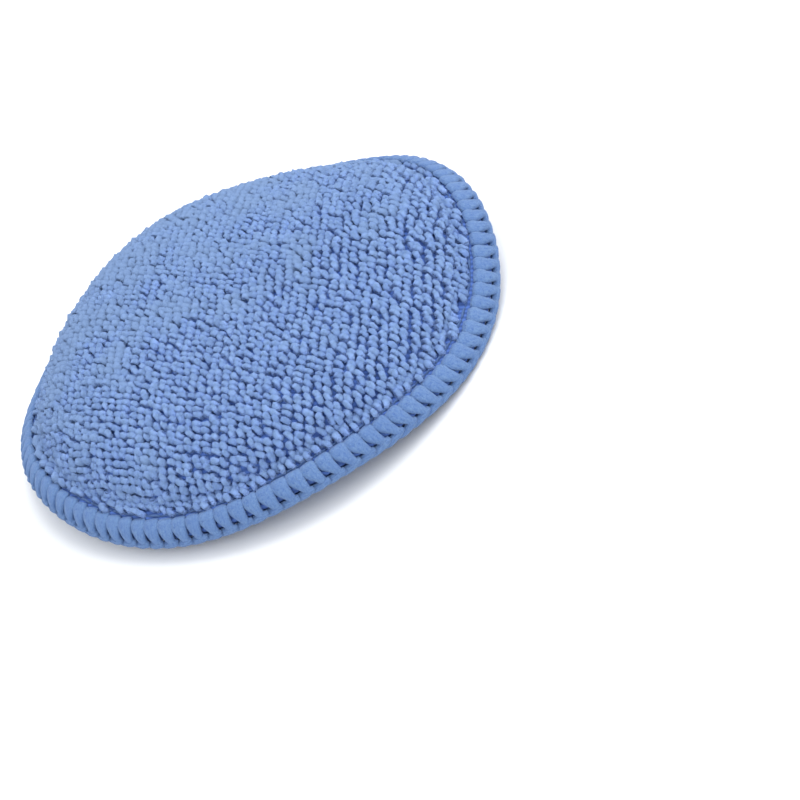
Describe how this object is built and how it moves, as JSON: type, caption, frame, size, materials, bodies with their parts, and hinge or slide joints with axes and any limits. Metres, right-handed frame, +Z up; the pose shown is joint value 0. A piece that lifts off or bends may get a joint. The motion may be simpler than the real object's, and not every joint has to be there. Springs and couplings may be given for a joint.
{
  "type": "polishing pad",
  "caption": "Round hand polishing pad: foam disc sewn between two looped terry microfibre cloths, with an overlocked edge.",
  "frame": {"origin": "centre of the flat underside that the pad rests on", "axes": "+Z up through the middle of the pad, from the flat underside to the crowned polishing face; X and Y lie in the plane of the underside"},
  "size_m": [0.127, 0.127, 0.0205],
  "materials": {
    "foam": "matte",
    "ground_cloth": "matte",
    "pile": "matte",
    "thread": "matte"
  },
  "bodies": {
    "root": {"foam_core": "foam", "upper_ground_cloth": "ground_cloth", "upper_pile": "pile", "lower_ground_cloth": "ground_cloth", "lower_pile": "pile", "needle_thread": "thread", "upper_looper_thread": "thread", "lower_looper_thread": "thread"}
  },
  "joints": []
}
